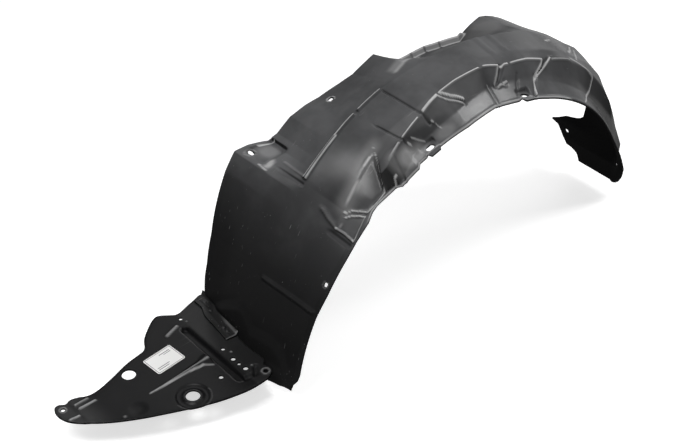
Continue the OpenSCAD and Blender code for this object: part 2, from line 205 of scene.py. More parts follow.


# lines pressed into the sheet: how strong a painted highlight they carry, half width, height, and their
# places (angle, depth)
seams = [
    # sail and the double line at its foot
    (0.8, 2.4, 0.7, sailFold + [(129.4, 33.8)]),
    (0.8, 2.0, 1.1, [(129.4, 33.8), (128, 27), (127, 17), (126.2, 9.5)]),
    (0.8, 2.0, 1.1, [(130.2, 31.2), (129, 24.5), (128, 15), (127.4, 8)]),
    (0.0, 1.5, -0.9, [(129.8, 32.3), (128.5, 25.5), (127.5, 16), (126.8, 8.8)]),
    (0.7, 1.8, 0.9, [(126.2, 9.5), (124, 8), (122, 7.5), (120.4, 8)]),
    (0.6, 1.7, 1.1, [(115.9, 38), (117, 28), (118.4, 18), (119.8, 10), (120.4, 8)]),
    # facet and bead below the sail
    (0.3, 1.7, 0.8, [(127.4, 8), (130, 5), (131.6, 3), (133, 1.5)]),
    (0.2, 1.8, 0.6, [(130.3, 31), (132.4, 29.5)]),
    (0.08, 5.5, 2.0, [(131.2, 62), (132.2, 48), (133, 32)]),
    (0.35, 4.0, 2.4, [(133, 32), (132.9, 18), (133.2, 3)]),
    (0.9, 3.0, 2.6, [(133, 32.8), (133.1, 31)]),
    (0.8, 2.2, 2.6, [(133.2, 3), (133.3, 1.5)]),
    (0.0, 5.0, -1.6, [(134.5, 38), (134.7, 4)]),
    # wedge and lip beside the sail
    (0.0, 3.4, -2.4, [(114.2, 14), (115.6, -3)]),
    (0.8, 1.7, 1.0, [(117.9, 1), (116.3, 3.5)]),
    # two creases over the deck, with the pits at their ends
    (0.0, 2.6, -2.8, [(104.1, 103), (103.8, 80), (103.5, 55), (103.1, 33), (102.6, 25)]),
    (0.0, 2.4, -2.6, [(111.2, 69), (110.8, 47), (110.5, 30), (110.2, 21)]),
    (0.6, 2.6, 1.8, [(101.9, 24.5), (101.7, 23.5)]), (0.4, 1.8, 0.8, [(101.3, 21), (100.9, 15)]),
    (0.6, 3.0, 2.2, [(109.5, 19.5), (109.2, 18.5)]),
    (0.4, 1.8, 0.8, [(108.2, 21.5), (107, 18), (105.9, 15)]),
    # slot that runs to a point
    (1.0, 1.9, 1.3, [(96.5, 46), (94.3, 36.5), (91.8, 29)]),
    (0.65, 2.0, 1.5, [(97.2, 42), (95.2, 33), (92.2, 25)]),
    (0.0, 1.7, -1.8, [(96.8, 43.8), (94.8, 34.8), (92, 27)]),
    # double line over the flange
    (0.0, 1.4, -1.0, [(84.9, 29.5), (84.7, 16), (84.5, 3)]), (0.3, 1.3, 0.7, [(84.4, 30), (84.2, 3)]),
    (0.0, 1.4, -1.0, [(83.9, 30.5), (83.8, 16), (83.7, 3)]),
    # channel with its bump
    (0.45, 2.7, 1.6, [(79, 46), (80.5, 37), (82.3, 28.5)]),
    (0.0, 3.4, -2.8, [(77.6, 44), (79.3, 36), (80.8, 30)]),
    (0.45, 3.8, 1.8, [(81.8, 25), (79.6, 25.5)]), (0.6, 3.0, 1.8, [(79.5, 27.5), (78.6, 27)]),
    (0.0, 2.6, -2.2, [(74.3, 33), (76, 20), (77.3, 7)]),
    # slanted slot
    (0.8, 2.0, 1.3, [(64.2, 47), (65, 41), (67.2, 33), (69.6, 25)]),
    (1.0, 3.0, 2.0, [(61.2, 48), (62.5, 44), (64.2, 38), (67, 30), (69.8, 22.5), (70.7, 12), (71.3, 3.5)]),
    (0.0, 2.0, -2.2, [(63, 46), (65.8, 35.5), (67.5, 31)]),
    # lines at the rear end
    (0.6, 2.2, 1.1, [(42.8, 43), (44, 30), (46.5, 20), (48.8, 8), (50.5, 1)]),
    (0.7, 3.0, 1.2, [(51, 67), (47.5, 82), (45, 97)]), (0.6, 2.6, 1.1, [(49.6, 55), (46.5, 75), (44, 92)]),
    (0.8, 3.0, 1.2, [(57.3, 84), (54.8, 91)]), (0.3, 5.0, 0.8, [(53, 50), (50, 49), (46, 47), (42.8, 43)]),
    # from the recess to the shoulder bead
    (0.0, 3.6, -1.7, [(129.6, 146), (129.5, 104)]), (0.1, 3.6, 0.9, [(127.8, 147), (127.9, 106)]),
    (0.5, 2.2, 0.7, [(131.2, 171), (131.4, 157)]), (0.6, 2.2, 0.6, [(128.2, 200), (125.2, 195.5)]),
    # shine along the shoulder bead
    (0.9, 4.0, 0.3, [(104.5, 106.2), (110.4, 106.2)]), (0.9, 4.0, 0.3, [(112, 106.2), (117.5, 106)]),
    (0.75, 2.1, 0.4, [(117.5, 107.6), (128, 107)]), (0.65, 2.1, 0.4, [(117.5, 103.4), (128, 103)]),
    (0.0, 1.4, -1.1, [(117.5, 105.5), (128, 105)]),
]
# wider dents and lines: the place or both ends of each, then its half width and height
dents = [
    (pit, (102.7, 27, 6, -3)), (pit, (109.3, 16, 9, -3.5)), (across, (152, 6, 103, 5.5, 3.4)),
    (across, (73.5, 70, 145, 8, 1.6)), (across, (77.5, 70, 150, 8, 1.6)),
    (slant, (92, 26, 96.5, 44, 3.4, -2.5)), (slant, (82, 27, 78, 46, 7, -4)),
    (slant, (72, 2, 69, 26, 5, -3)), (slant, (69, 26, 62, 46, 6, -4)), (pit, (79.4, 27, 8, -3)),
]
# stretches of the ridge that stand proud: from, to, half width, painted highlight
proud = [(85.2, 96.3, 2.8, 0.9), (79, 83.7, 2.8, 1.0), (76, 78.2, 2.8, 0.9), (64.3, 74.8, 2.8, 0.9),
         (97.4, 102.5, 5.0, 0.9), (104.5, 109.8, 2.6, 0.9), (111.4, 115.6, 3.0, 0.9), (54, 60.5, 3.0, 0.35)]


def pressedLines(a, y):
    # heights of the raised and the sunk lines, and the painted highlight on the raised ones
    up, down, shine = np.zeros(np.shape(a)), np.zeros(np.shape(a)), np.zeros(np.shape(a))
    for highlightLevel, w, d, places in seams:
        angles, depths = [p[0] for p in places], [p[1] for p in places]
        near = (a > min(angles) - w / 5) & (a < max(angles) + w / 5)
        near = near & (y > min(depths) - w) & (y < max(depths) + w)
        if not near.any():
            continue
        aa, yy = a[near], y[near]
        gap = np.full(aa.shape, 1e9)
        for (a0, y0), (a1, y1) in zip(places, places[1:]):
            s, run = edgeArc(aa, a0), edgeArc(a1, a0)
            k = np.clip((s * run + (yy - y0) * (y1 - y0)) / (run ** 2 + (y1 - y0) ** 2), 0, 1)
            gap = np.minimum(gap, np.hypot(s - k * run, yy - y0 - k * (y1 - y0)))
        if d > 0:
            up[near] = np.maximum(up[near], d * bump(gap, w))
            shine[near] = np.maximum(shine[near], highlightLevel * np.minimum(1, 2 * bump(gap, 0.4 * w + 0.5)))
        else:
            down[near] = np.minimum(down[near], d * bump(gap, w))
    ridge = along(crestGuide, a) + 1.2
    for start, end, w, highlightLevel in proud:
        k = band(start, end, 0.35, a)
        up = np.maximum(up, 1.5 * bump(y - ridge, w) * k)
        shine = np.maximum(shine, highlightLevel * np.minimum(1, 2 * bump(y - ridge, 0.55 * w)) * k)
    return up, down, shine


def upstandBand(a, y):
    # the inboard edge turned up over the top of the wheel
    return band(*arch["upstandSpan"], 1.2, a) * np.clip((y - farY(a) + 9) / 8, 0, 1)


def details(a, y):
    # what the mould presses into the main folds
    far, near = farY(a), along(nearGuide, a)
    h = sum(shape(a, y, *sizes) for shape, sizes in dents)
    beads = band(104.4, 110.6, 0.5, a) + band(112, 128, 0.6, a)
    h = h + arch["bead"] * bump(y - arch["shoulder"], 5) * beads
    h = h - arch["recess"] * band(125.5, 130.4, 0.7, a) * ease(160, 169, y) * (1 - ease(198, 203, y))
    h = h + arch["footStep"] * ease(0, 3.0, a - along(stepLine, y))
    h = h + arch["upstand"] * upstandBand(a, y)
    for a0 in arch["upstandRibs"]:
        h = h + 1.5 * bump(edgeArc(a, a0), 2.4) * band(far - 9, far - 3, 2, y)
    up, down = pressedLines(a, y)[:2]
    # and the edge is rolled a little
    return h + up + down + 0.9 * bump(y - near - 2.5, 2.5) * band(28, 124, 2, a)


def lugSeats(a, y, h):
    # each lug is a flat seat pressed into the edge, with a low rim round its slot
    for a0 in arch["lugAngles"]:
        s = edgeArc(a, a0)
        flat = (arch["radius"] + arch["lugSeat"]) / np.cos(np.radians(a - a0)) - arch["radius"]
        k = band(-arch["lugWidth"] / 2, arch["lugWidth"] / 2, 2.5, s) * (1 - ease(12, 15, y))
        h = h + (flat - h) * k
        h = h + 1.1 * k * bump(slotDistance(s, y) - 2.2, 1.8)
    return h


def slotDistance(s, y):
    # signed distance from the wall of a lug's slot
    reach = (arch["slotLength"] - arch["slotWidth"]) / 2
    return np.hypot(np.maximum(np.abs(s) - reach, 0), y - arch["slotPlace"]) - arch["slotWidth"] / 2


def skin(a, y, soft=0.6):
    # the mean over a small patch rounds each crease as the mould does
    r = 0
    offsets = [(0, 0, 2), (soft, 0, 1), (-soft, 0, 1), (0, soft, 1), (0, -soft, 1)]
    for da, dy, share in offsets:
        aa, yy = a + da / arch["radius"] * 180 / math.pi, y + dy
        r = r + share / 6 * (arch["radius"] + lugSeats(aa, yy, form(aa, yy) + details(aa, yy)))
    t = np.radians(a)
    return np.stack([r * np.cos(t), y + 0 * r, r * np.sin(t)], axis=-1)


def normals(a, y, soft=0.6):
    du = skin(a, y + 0.5, soft) - skin(a, y - 0.5, soft)
    dv = skin(a + 0.08, y, soft) - skin(a - 0.08, y, soft)
    n = np.cross(du, dv)
    return n / np.linalg.norm(n, axis=-1, keepdims=True)


def stretches(spans):
    # parameter values over spans of (from, to, step), with the shared ends kept once
    values = [spans[0][0]]
    for start, end, step in spans:
        count = max(1, round((end - start) / step))
        values += [start + (end - start) * i / count for i in range(1, count + 1)]
    return np.array(values)


rowAngles = stretches([(arch["rearEnd"], 16, 0.3), (16, 27, 0.24), (27, 58, 0.34), (58, 102, 0.19),
                       (102, 111.4, 0.15), (111.4, 135.6, 0.18), (135.6, 149, 0.4), (149, 155, 0.2),
                       (155, 162, 0.45), (162, arch["frontEnd"], 0.26)])
# steps across the sheet: near edge 0, foot 2, ridge 4, shoulder 13, far edge 21
columnSteps = stretches([(0, 2, 0.12), (2, 4, 0.11), (4, 7, 0.3), (7, 11, 0.24), (11, 15, 0.25),
                         (15, 19, 0.17), (19, 21, 0.25)])


def columnPlace(a, j):
    n, f = nearY(a), farY(a)
    s = np.minimum(arch["shoulder"], n + 0.62 * (f - n))
    c = np.minimum(along(crestGuide, a), n + 0.45 * (f - n))
    g = np.minimum(along(footGuide, a), 0.5 * (c - n))
    return through(j, [(0, n), (2, n + g), (4, c), (7, np.maximum(38, c + 6)), (11, s - 6), (13, s),
                       (15, s + 6), (19, f - 9), (21, f)])


# sheets with trimmed holes and rolled edges

def keptFaces(opened):
    # faces of a grid whose corners are not all in the open; a corner cut off leaves a triangle
    rows, cols = opened.shape
    ids = np.arange(rows * cols).reshape(rows, cols)
    faces = []
    for i in range(rows - 1):
        for j in range(cols - 1):
            ring = [(i, j), (i + 1, j), (i + 1, j + 1), (i, j + 1)]
            solid = [ids[p] for p in ring if not opened[p]]
            if len(solid) >= 3:
                faces.append([int(v) for v in solid])
    return faces


def shellMesh(name, outer, inner, faces, roll=0.35, back=None):
    # outer skin, inner skin and a rounded rim along every free edge; the inner skin may be a coarser
    # sheet of its own, given as its points and faces
    used = sorted({v for f in faces for v in f})
    place = {v: k for k, v in enumerate(used)}
    top = [[place[v] for v in f] for f in faces]
    edges = {}
    for f in top:
        for p, q in zip(f, f[1:] + f[:1]):
            edges[(p, q)] = edges.get((p, q), 0) + 1
    rim = [(p, q) for (p, q) in edges if (q, p) not in edges]
    outerPoints, innerPoints = outer.reshape(-1, 3)[used], inner.reshape(-1, 3)[used]
    middle = (outerPoints + innerPoints) / 2
    push = np.zeros_like(middle)
    for p, q in rim:
        side = np.cross(outerPoints[q] - outerPoints[p], outerPoints[p] - innerPoints[p])
        side = side / max(np.linalg.norm(side), 1e-9)
        push[p] += side
        push[q] += side
    size = np.linalg.norm(push, axis=1, keepdims=True)
    wall = np.linalg.norm(outerPoints - innerPoints, axis=1, keepdims=True)
    push = push / np.maximum(size, 1e-9) * roll * wall
    ringIds = sorted({v for e in rim for v in e})
    count, rings = len(used), len(ringIds)
    ring = {v: count + k for k, v in enumerate(ringIds)}
    bottom = {v: count + rings + k for k, v in enumerate(ringIds)}
    sides = []
    for p, q in rim:
        sides.append([q, p, ring[p], ring[q]])
        sides.append([ring[q], ring[p], bottom[p], bottom[q]])
    backPoints, backFaces = back if back else (inner, faces)
    seen = sorted({v for f in backFaces for v in f})
    start = count + 2 * rings
    backPlace = {v: start + k for k, v in enumerate(seen)}
    if not back:
        backPlace.update({used[v]: bottom[v] for v in ringIds})
    low = [[backPlace[v] for v in reversed(f)] for f in backFaces]
    points = np.concatenate([outerPoints, (middle + push)[ringIds], innerPoints[ringIds],
                             backPoints.reshape(-1, 3)[seen]])
    mesh = bpy.data.meshes.new(name)
    # nothing reaches past the solids' box
    points = np.clip(points * mm, np.array(cadBox[0]), np.array(cadBox[1]))
    mesh.from_pydata(points.tolist(), [], top + low + sides)
    mesh.polygons.foreach_set("use_smooth", [True] * len(mesh.polygons))
    mesh.polygons.foreach_set("material_index", [0] * len(top) + [1] * len(low) + [0] * len(sides))
    mesh.update()
    return mesh, used


def setMasks(mesh, used, highlightValues, glossValues):
    # values at the points of the outer skin, which the materials read by their names: painted highlights, and
    # the coat's gloss
    for name, values in (("paintedHighlights", highlightValues), ("gloss", glossValues)):
        layer = mesh.attributes.new(name, "FLOAT", "POINT")
        full = np.zeros(len(mesh.vertices), np.float32)
        full[:len(used)] = values.reshape(-1)[used]
        layer.data.foreach_set("value", full)


def addPiece(name, mesh, nodes, slotName, *materials):
    piece = bpy.data.objects.new(name, mesh)
    bpy.context.scene.collection.objects.link(piece)
    for material in materials:
        piece.data.materials.append(material)
    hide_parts(*nodes)
    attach(piece, body)


# finishes

def newGroup(name, label, value, outputs):
    # a place and one number go in, and numbers that change over the surface come out
    group = bpy.data.node_groups.new(name, "ShaderNodeTree")
    group.interface.new_socket(name="Vector", in_out="INPUT", socket_type="NodeSocketVector")
    sock = group.interface.new_socket(name=label, in_out="INPUT", socket_type="NodeSocketFloat")
    sock.default_value = value
    for output in outputs:
        group.interface.new_socket(name=output, in_out="OUTPUT", socket_type="NodeSocketFloat")
    return group, group.nodes.new("NodeGroupInput"), group.nodes.new("NodeGroupOutput")


def newMaterial(name):
    material = bpy.data.materials.new(name)
    material.use_nodes = True
    return material, material.node_tree, material.node_tree.nodes["Principled BSDF"]


def mathNode(tree, kind, first, second=None):
    node = tree.nodes.new("ShaderNodeMath")
    node.operation = kind
    for k, value in enumerate((first, second)):
        if value is None:
            continue
        if isinstance(value, (int, float)):
            node.inputs[k].default_value = value
        else:
            tree.links.new(value, node.inputs[k])
    return node.outputs[0]


def rampNode(tree, value, start, factor):
    # start + factor * value
    return mathNode(tree, "ADD", start, mathNode(tree, "MULTIPLY", value, factor))


def splitNode(tree, vector):
    node = tree.nodes.new("ShaderNodeSeparateXYZ")
    tree.links.new(vector, node.inputs[0])
    return node.outputs


def maskNode(tree, name):
    # a mask that setMasks has written on the mesh
    node = tree.nodes.new("ShaderNodeAttribute")
    node.attribute_name = name
    return node.outputs["Fac"]


def reliefNode(tree, height, strength, distance):
    node = tree.nodes.new("ShaderNodeBump")
    node.inputs["Strength"].default_value = strength
    node.inputs["Distance"].default_value = distance
    tree.links.new(height, node.inputs["Height"])
    return node.outputs[0]


def placeGroup(tree, group, vector, label, value):
    node = tree.nodes.new("ShaderNodeGroup")
    node.node_tree = group
    node.inputs[label].default_value = value
    tree.links.new(vector, node.inputs["Vector"])
    return node.outputs


def seenRays(tree):
    # 1 for the rays that show a background: camera, transmission and glossy
    rays = tree.nodes.new("ShaderNodeLightPath").outputs
    seen = mathNode(tree, "MAXIMUM", rays["Is Camera Ray"], rays["Is Transmission Ray"])
    return mathNode(tree, "MAXIMUM", seen, rays["Is Glossy Ray"])


def noiseNode(tree, vector, scale, detail, rough):
    node = tree.nodes.new("ShaderNodeTexNoise")
    tree.links.new(vector, node.inputs["Vector"])
    node.inputs["Scale"].default_value = scale
    node.inputs["Detail"].default_value = detail
    node.inputs["Roughness"].default_value = rough
    return node.outputs["Fac"]


def spread(tree, value, low, high, newLow=0.0, newHigh=1.0):
    # smooth step between two values
    node = tree.nodes.new("ShaderNodeMapRange")
    node.interpolation_type = "SMOOTHSTEP"
    tree.links.new(value, node.inputs["Value"])
    for label, number in (("From Min", low), ("From Max", high), ("To Min", newLow), ("To Max", newHigh)):
        node.inputs[label].default_value = number
    return node.outputs["Result"]


# scales of the textures, and how the scuffs are turned and stretched
texture = {"grain": 1400, "waves": 24, "ripples": 95, "patches": 9, "scuffTurn": (0.3, 0.5, 0.7),
           "scuffStretch": (14, 380, 60), "scuffedPlaces": 16, "specks": 430, "speckedPlaces": 22,
           "reliefDepth": 0.0006}


def mouldedGrain():
    # fine grain, slow waves of the moulding and soft patches of dust
    group, gin, gout = newGroup("moulded grain", "Waves", 0.5, ["Height", "Patches"])
    at = gin.outputs["Vector"]
    grain = noiseNode(group, at, texture["grain"], 2, 0.6)
    wave = noiseNode(group, at, texture["waves"], 2, 0.4)
    ripple = noiseNode(group, at, texture["ripples"], 2, 0.45)
    patch = spread(group, noiseNode(group, at, texture["patches"], 4, 0.6), 0.38, 0.68)
    slow = mathNode(group, "ADD", wave, mathNode(group, "MULTIPLY", ripple, 0.18))
    slow = mathNode(group, "MULTIPLY", slow, gin.outputs["Waves"])
    height = mathNode(group, "ADD", mathNode(group, "MULTIPLY", grain, 0.05), slow)
    group.links.new(height, gout.inputs["Height"])
    group.links.new(patch, gout.inputs["Patches"])
    return group


def handlingMarks():
    # thin scuffs that run one way and small specks, broken up so that few show
    group, gin, gout = newGroup("handling marks", "Amount", 0.5, ["Mask"])
    at = gin.outputs["Vector"]
    mapping = group.nodes.new("ShaderNodeMapping")
    mapping.inputs["Rotation"].default_value = texture["scuffTurn"]
    mapping.inputs["Scale"].default_value = texture["scuffStretch"]
    group.links.new(at, mapping.inputs["Vector"])
    lines = spread(group, noiseNode(group, mapping.outputs[0], 1.0, 2, 0.5), 0.68, 0.74)
    where = spread(group, noiseNode(group, at, texture["scuffedPlaces"], 3, 0.6), 0.52, 0.68)
    specks = spread(group, noiseNode(group, at, texture["specks"], 1, 0.5), 0.72, 0.8)
    soiled = spread(group, noiseNode(group, at, texture["speckedPlaces"], 2, 0.6), 0.53, 0.66)
    specks = mathNode(group, "MULTIPLY", specks, soiled)
    marked = mathNode(group, "MAXIMUM", mathNode(group, "MULTIPLY", lines, where), specks)
    mask = mathNode(group, "MULTIPLY", marked, gin.outputs["Amount"])
    group.links.new(mask, gout.inputs["Mask"])
    return group


grainGroup = mouldedGrain()
marksGroup = handlingMarks()


def colourMix(tree, factor, first, second):
    node = tree.nodes.new("ShaderNodeMix")
    node.data_type = "RGBA"
    tree.links.new(factor, node.inputs[0])
    for k, value in ((6, first), (7, second)):
        if isinstance(value, tuple):
            node.inputs[k].default_value = (*value, 1)
        else:
            tree.links.new(value, node.inputs[k])
    return node.outputs[2]


def mouldedPlastic(name, finish):
    material, tree, shader = newMaterial(name)
    coords = tree.nodes.new("ShaderNodeTexCoord").outputs["Object"]
    grain = placeGroup(tree, grainGroup, coords, "Waves", finish["waves"])
    scuffs = placeGroup(tree, marksGroup, coords, "Amount", finish["marks"])["Mask"]
    # fine dust, and painted light from above, on the upper half and on what faces up
    facing = splitNode(tree, tree.nodes.new("ShaderNodeNewGeometry").outputs["Normal"])
    place = splitNode(tree, coords)
    upward = mathNode(tree, "MULTIPLY", spread(tree, facing["Z"], 0.1, 0.9),
                      spread(tree, place["Z"], *finish["dustAndLightFrom"]))
    dustAndLight = mathNode(tree, "MULTIPLY", upward, rampNode(tree, grain["Patches"], 0.6, 0.4))
    colour = colourMix(tree, dustAndLight, finish["colour"], finish["dustAndTopLight"])
    colour = colourMix(tree, scuffs, colour, finish["scuffed"])
    # painted highlight on the raised lines, weaker low down
    highlightShare = mathNode(tree, "MULTIPLY", maskNode(tree, "paintedHighlights"), rampNode(tree, grain["Patches"], 0.7, 0.3))
    highlightShare = mathNode(tree, "MULTIPLY", highlightShare, spread(tree, place["Z"], *finish["highlightFrom"], 0.35, 1.0))
    tree.links.new(colourMix(tree, highlightShare, colour, finish["highlightColour"]), shader.inputs["Base Color"])
    rough = rampNode(tree, grain["Patches"], finish["rough"], 0.06)
    rough = mathNode(tree, "ADD", rough, mathNode(tree, "MULTIPLY", scuffs, 0.1))
    tree.links.new(rough, shader.inputs["Roughness"])
    # the sheen is all in the coat: a plain share, and one that follows the mask
    shader.inputs["Specular IOR Level"].default_value = 0.0
    plain, masked = finish["gloss"]
    shader.inputs["Coat Weight"].default_value = plain
    if masked:
        weight = rampNode(tree, maskNode(tree, "gloss"), plain, masked)
        tree.links.new(weight, shader.inputs["Coat Weight"])
    shader.inputs["Coat Roughness"].default_value = finish["coatRough"]
    relief = reliefNode(tree, grain["Height"], finish["relief"], texture["reliefDepth"])
    tree.links.new(relief, shader.inputs["Normal"])
    return material


linerPlastic = mouldedPlastic("liner plastic", {
    "colour": (0.013, 0.013, 0.0133), "dustAndTopLight": (0.135, 0.136, 0.14), "scuffed": (0.3, 0.3, 0.3),
    "highlightColour": (0.8, 0.8, 0.8), "dustAndLightFrom": (0.12, 0.34), "highlightFrom": (0.05, 0.25),
    "rough": 0.4, "gloss": (0.0, 1.0), "coatRough": 0.26, "relief": 0.3, "waves": 1.0, "marks": 0.6})
# the wheel side is the same plastic painted darker, as painted shade
linerInsideShaded = mouldedPlastic("liner inside shaded", {
    "colour": (0.003, 0.003, 0.0032), "dustAndTopLight": (0.005, 0.005, 0.005), "scuffed": (0.02, 0.02, 0.02),
    "highlightColour": (0.02, 0.02, 0.02), "dustAndLightFrom": (0.0, 0.3), "highlightFrom": (0.0, 0.3),
    "rough": 0.6, "gloss": (0.06, 0.0), "coatRough": 0.5, "relief": 0.5, "waves": 1.0, "marks": 0.2})
panelPlastic = mouldedPlastic("panel plastic", {
    "colour": (0.005, 0.005, 0.0053), "dustAndTopLight": (0.009, 0.009, 0.0095), "scuffed": (0.06, 0.06, 0.062),
    "highlightColour": (0.5, 0.5, 0.5), "dustAndLightFrom": (-0.2, 0.1), "highlightFrom": (-0.2, 0.0),
    "rough": 0.4, "gloss": (0.0, 0.5), "coatRough": 0.26, "relief": 0.3, "waves": 0.8, "marks": 0.3})
stakePlastic = mouldedPlastic("stake plastic", {
    "colour": (0.02, 0.02, 0.021), "dustAndTopLight": (0.03, 0.03, 0.031), "scuffed": (0.06, 0.06, 0.06),
    "highlightColour": (0.1, 0.1, 0.1), "dustAndLightFrom": (-0.2, 0.1), "highlightFrom": (-0.2, 0.0),
    "rough": 0.4, "gloss": (0.4, 0.0), "coatRough": 0.2, "relief": 0.15, "waves": 0.3, "marks": 0.1})


sticker = {
    "centre": (-0.4535, 0.154), "turn": 4, "white": (0.84, 0.84, 0.83), "grey": (0.14, 0.14, 0.15),
    # middle and half size of each printed rule, in metres from the sticker's centre
    "rules": [((0, 0.0162), (0.0222, 0.0004)), ((0, -0.0162), (0.0222, 0.0004)),
              ((0.0222, 0), (0.0004, 0.0162)), ((-0.0222, 0), (0.0004, 0.0162)),
              ((0.0085, 0.011), (0.009, 0.0006)), ((0.0115, 0.008), (0.006, 0.0005)),
              ((-0.008, -0.0085), (0.0105, 0.0006)), ((-0.0095, -0.0118), (0.009, 0.0006))],
}


def stickerFinish():
    # coated paper with a thin frame and a few plain rules
    material, tree, shader = newMaterial("sticker paper")
    coords = tree.nodes.new("ShaderNodeTexCoord").outputs["Object"]
    turn = tree.nodes.new("ShaderNodeVectorRotate")
    turn.rotation_type = "Z_AXIS"
    turn.inputs["Center"].default_value = (*sticker["centre"], 0)
    turn.inputs["Angle"].default_value = -math.radians(sticker["turn"])
    tree.links.new(coords, turn.inputs["Vector"])
    place = splitNode(tree, turn.outputs[0])
    ink = None
    for (cx, cy), (w, h) in sticker["rules"]:
        bar = None
        for k, (middle, half) in enumerate(((sticker["centre"][0] + cx, w), (sticker["centre"][1] + cy, h))):
            off = mathNode(tree, "ABSOLUTE", mathNode(tree, "SUBTRACT", place[k], middle))
            side = mathNode(tree, "LESS_THAN", off, half)
            bar = side if bar is None else mathNode(tree, "MULTIPLY", bar, side)
        ink = bar if ink is None else mathNode(tree, "MAXIMUM", ink, bar)
    tree.links.new(colourMix(tree, ink, sticker["white"], sticker["grey"]), shader.inputs["Base Color"])
    fibres = noiseNode(tree, coords, 900, 3, 0.6)
    tree.links.new(spread(tree, fibres, 0.3, 0.7, 0.34, 0.44), shader.inputs["Roughness"])
    tree.links.new(reliefNode(tree, fibres, 0.15, 0.0002), shader.inputs["Normal"])
    return material


stickerPaper = stickerFinish()
print("finishes made")

# arch liner

def drill(points, centre, axis, distance, reach):
    # opens a hole: corners inside go, and those by its wall move onto it
    away = points - centre
    flat = away - (away @ axis)[..., None] * axis
    d, direction = distance(flat)
    near = np.abs(away @ axis) < 12  # mm along the hole
    moved = np.where((near & (np.abs(d) < reach))[..., None], points - direction * d[..., None], points)
    return moved, near & (d < -reach)


def roundHole(radius):
    def distance(flat):
        size = np.linalg.norm(flat, axis=-1)
        return size - radius, flat / np.maximum(size, 1e-6)[..., None]
    return distance


def oblongHole(longWay, length, width):
    def distance(flat):
        s = flat @ longWay
        core = np.clip(s, -(length - width) / 2, (length - width) / 2)[..., None] * longWay
        size = np.linalg.norm(flat - core, axis=-1)
        return size - width / 2, (flat - core) / np.maximum(size, 1e-6)[..., None]
    return distance


def linerSheet(rows, steps, reach):
    # both skins of the liner over a grid of angles and column steps, with the holes opened
    a, j = np.meshgrid(rows, steps, indexing="ij")
    y = columnPlace(a, j)
    # the end of the front leg drops inboard
    a = a + np.interp(a, (168.5, arch["frontEnd"]), (0, 1)) * np.interp(y, (14, 46, 70), (0, 1.3, 2.6))
    outer = skin(a, y)
    opened = np.zeros(a.shape, bool)
    for a0, y0, radius in arch["clipHoles"]:
        place = (np.array(float(a0)), np.array(float(y0)))
        outer, gone = drill(outer, skin(*place), normals(*place, 3.0), roundHole(radius), reach)
        opened |= gone
    for a0 in arch["lugAngles"]:
        t = math.radians(a0)
        axis = np.array([math.cos(t), 0, math.sin(t)])
        centre = axis * (arch["radius"] + arch["lugSeat"]) + np.array([0, arch["slotPlace"], 0])
        slot = oblongHole(np.array([-math.sin(t), 0, math.cos(t)]), arch["slotLength"], arch["slotWidth"])
        outer, gone = drill(outer, centre, axis, slot, reach)
        opened |= gone
    inner = outer - normals(a, y, 2.0) * arch["thickness"]
    return a, y, outer, inner, keptFaces(opened)


# painted highlights on each part of the liner
highlightPlaces = {
    "upstandEnd": 0.85, "upstandRib": 0.8, "rim": 0.6, "hole": 0.9, "frontHole": 0.2,
    "sail": 0.26, "wall": 0.06,
    # line over the deck at which the turned-up edge fades out
    "upstandFront": [(80.5, 182), (84.5, 165), (89.7, 145.6), (94.9, 125.6), (97.9, 118.4)],
    # places with a painted highlight: middle, half sizes along the arc and the depth, strength
    "paintedLightPatches": [((129.9, 162), (11, 9), 0.5), ((127.8, 183), (17, 20), 0.13), ((110.3, 9), (38, 14), 0.48),
              ((100.5, 9), (24, 12), 0.2), ((114.2, 11), (20, 20), 0.2), ((90, 12), (30, 12), 0.12),
              ((64.5, 160), (30, 42), 0.16)],
}


def paintedHighlights(a, y):
    # painted highlight at each place: raised lines, the turned-up edge and the rim
    shine = pressedLines(a, y)[2]
    k = upstandBand(a, y)
    upstandHighlight = ease(0, 0.05, k) * (0.25 + 0.75 * bump(k - 0.1, 0.16) + 0.7 * bump(k - 0.92, 0.2))
    upstandHighlight = np.maximum(upstandHighlight, highlightPlaces["upstandEnd"] * ease(85.4, 86.4, a) * ease(0.03, 0.1, k))
    for a0 in arch["upstandRibs"]:
        upstandHighlight = upstandHighlight * (1 - highlightPlaces["upstandRib"] * bump(edgeArc(a, a0) - 2, 2.5))
    rim = highlightPlaces["rim"] * bump(y - along(nearGuide, a) - 1.4, 1.8) * band(60, 126, 3, a)
    for a0, y0, radius in arch["clipHoles"]:
        highlightLevel = highlightPlaces["hole"] if a0 < 125 else highlightPlaces["frontHole"]
        rim = np.maximum(rim, highlightLevel * bump(np.hypot(edgeArc(a, a0), y - y0) - radius - 0.9, 1.4))
    rim = np.maximum(rim, highlightPlaces["sail"] * bump(y - along(sailFold, a) - 2, 20) * band(115.5, 127.5, 4, a))
    # painted highlight on the front end of the turned-up edge, and on the wall under the ridge
    past = y - along(highlightPlaces["upstandFront"], a)
    front = (0.2 + 0.3 * bump(past - 2, 7)) * ease(-3, 4, past) * (1 - ease(14, 24, past))
    rim = np.maximum(rim, front * band(82, 97.5, 1.5, a))
    rim = np.maximum(rim, highlightPlaces["wall"] * band(86, 116, 2, a) * ease(22, 28, y) * (1 - ease(44, 48, y)))
    for (a0, y0), (wide, deep), highlightLevel in highlightPlaces["paintedLightPatches"]:
        away = np.hypot(edgeArc(a, a0) / wide, (y - y0) / deep)
        rim = np.maximum(rim, highlightLevel * np.minimum(1, 1.6 * bump(away, 1)))
    return np.clip(np.maximum(np.maximum(shine, upstandHighlight), rim), 0, 1)


